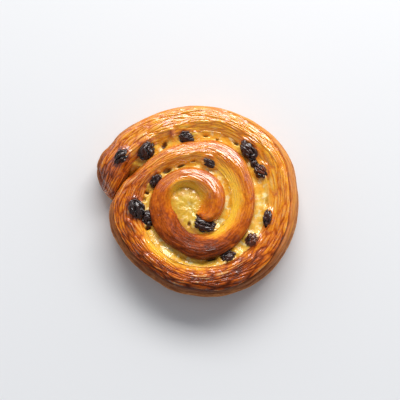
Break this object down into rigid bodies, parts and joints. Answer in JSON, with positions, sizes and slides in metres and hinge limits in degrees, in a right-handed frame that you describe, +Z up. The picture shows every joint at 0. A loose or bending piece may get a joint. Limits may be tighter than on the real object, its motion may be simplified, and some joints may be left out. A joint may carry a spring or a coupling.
{
  "type": "pain aux raisins",
  "caption": "Baked coil of flaky, glazed pastry with custard in its grooves and raisins set in the custard, flat underneath, its tail end curling out at one side.",
  "frame": {"origin": "middle of the pastry's outline seen from above, on the surface that it rests on", "axes": "+Z up out of the coil's top, +X along its longest extent, away from the tail end, +Y towards the back of the picture"},
  "size_m": [0.1174, 0.112, 0.0339],
  "materials": {
    "dough": "baked laminated dough, golden brown, glazed on top and dull on the side",
    "custard": "baked custard, pale yellow, moist and glossy",
    "raisin": "baked raisin, nearly black, wrinkled and glazed"
  },
  "bodies": {
    "root": {"dough": "dough", "custard": "custard", "raisin_1": "raisin", "raisin_2": "raisin", "raisin_3": "raisin", "raisin_4": "raisin", "raisin_5": "raisin", "raisin_6": "raisin", "raisin_7": "raisin", "raisin_8": "raisin", "raisin_9": "raisin", "raisin_10": "raisin", "raisin_11": "raisin", "raisin_12": "raisin", "raisin_13": "raisin", "raisin_14": "raisin"}
  },
  "joints": []
}
